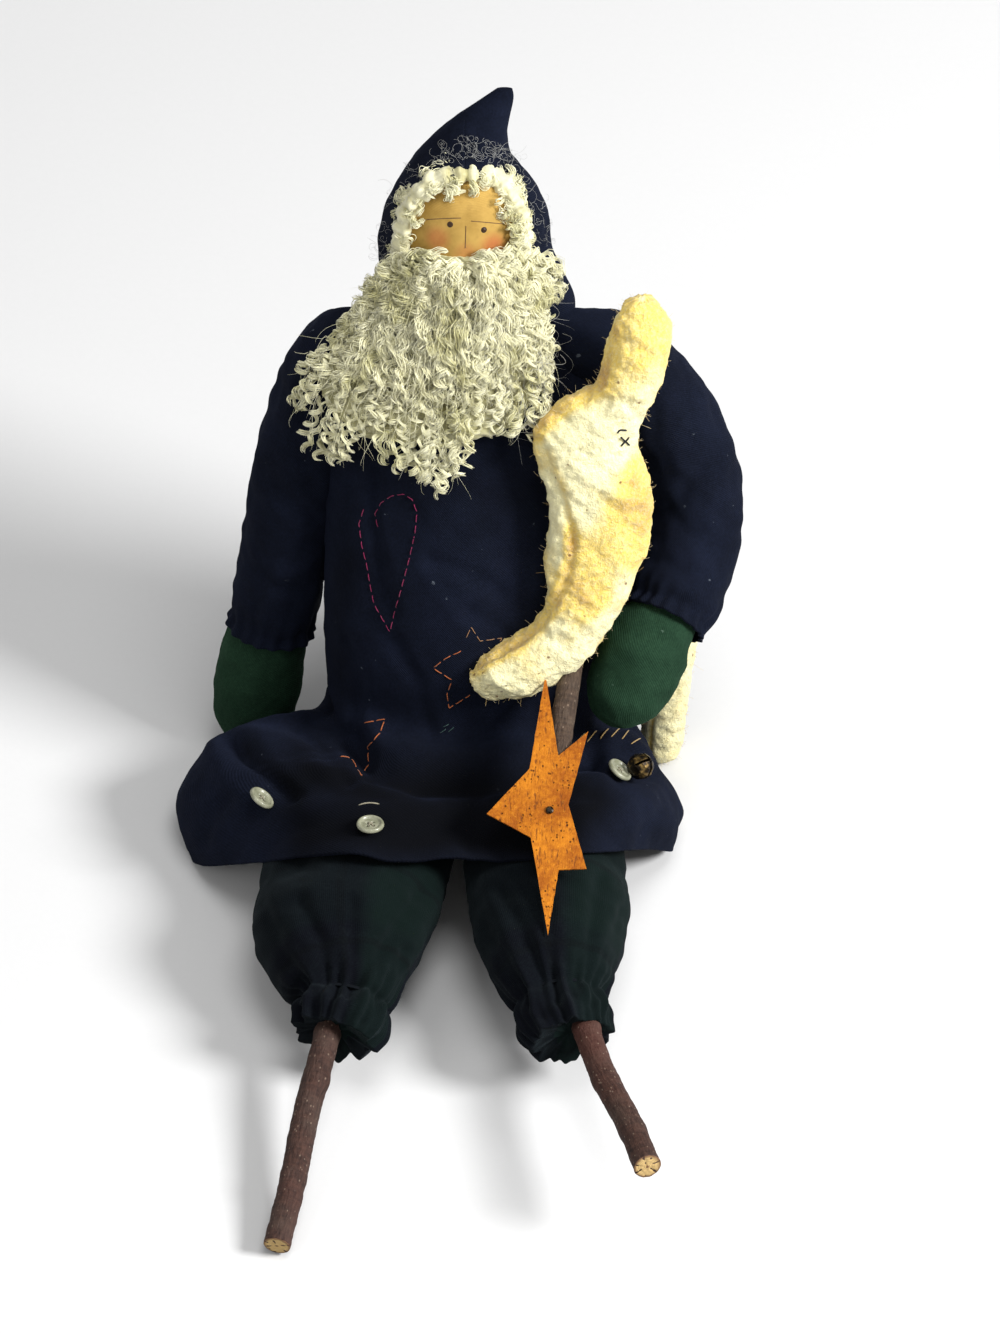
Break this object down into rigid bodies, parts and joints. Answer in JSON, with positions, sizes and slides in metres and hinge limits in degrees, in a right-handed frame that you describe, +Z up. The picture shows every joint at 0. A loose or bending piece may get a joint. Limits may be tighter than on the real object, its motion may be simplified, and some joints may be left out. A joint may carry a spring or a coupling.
{
  "type": "primitive cloth figure with moon and star",
  "caption": "Seated cloth figure in a hooded robe, with a curly beard, plaid pants, twig legs, a stuffed moon under one arm and a rusty tin star on a stick.",
  "frame": {"origin": "middle of the flat seat, on the surface that the figure sits on", "axes": "+Z up from the seat, -Y the way the figure faces, +X the viewer's right"},
  "size_m": [0.2641, 0.4182, 0.3571],
  "materials": {
    "navy_flannel": "brushed navy wool flannel",
    "plaid_flannel": "dark navy and green plaid flannel",
    "green_wool": "dark green wool",
    "stained_muslin": "tea-stained muslin over fibre filling",
    "cream_fleece": "cream curly wool locks",
    "stained_batting": "stained cotton batting, fuzzy",
    "twig_bark": "twig with its bark on and pale cut ends",
    "dark_twine": "dark twisted thread",
    "rusty_tin": "sheet tin rusted orange brown",
    "dark_metal": "blackened and rusted metal",
    "cream_button": "cream sew-through button"
  },
  "bodies": {
    "root": {"robe": "navy_flannel", "left_sleeve": "navy_flannel", "right_sleeve": "navy_flannel", "hood": "navy_flannel", "pants_seat": "plaid_flannel", "pants_left_leg": "plaid_flannel", "pants_right_leg": "plaid_flannel", "left_mitten": "green_wool", "right_mitten": "green_wool", "stuffed_body": "stained_muslin", "left_arm": "stained_muslin", "right_arm": "stained_muslin", "head": "stained_muslin", "hair_fringe": "cream_fleece", "beard": "cream_fleece", "moon": "stained_batting", "toy_roll": "stained_batting", "left_twig_leg": "twig_bark", "right_twig_leg": "twig_bark", "star_stick": "twig_bark", "left_ankle_tie": "dark_twine", "right_ankle_tie": "dark_twine", "rusty_star": "rusty_tin", "star_nail": "dark_metal", "bell_shell": "dark_metal", "bell_pellet": "dark_metal", "button_left": "cream_button", "button_middle": "cream_button", "button_right": "cream_button"}
  },
  "joints": []
}
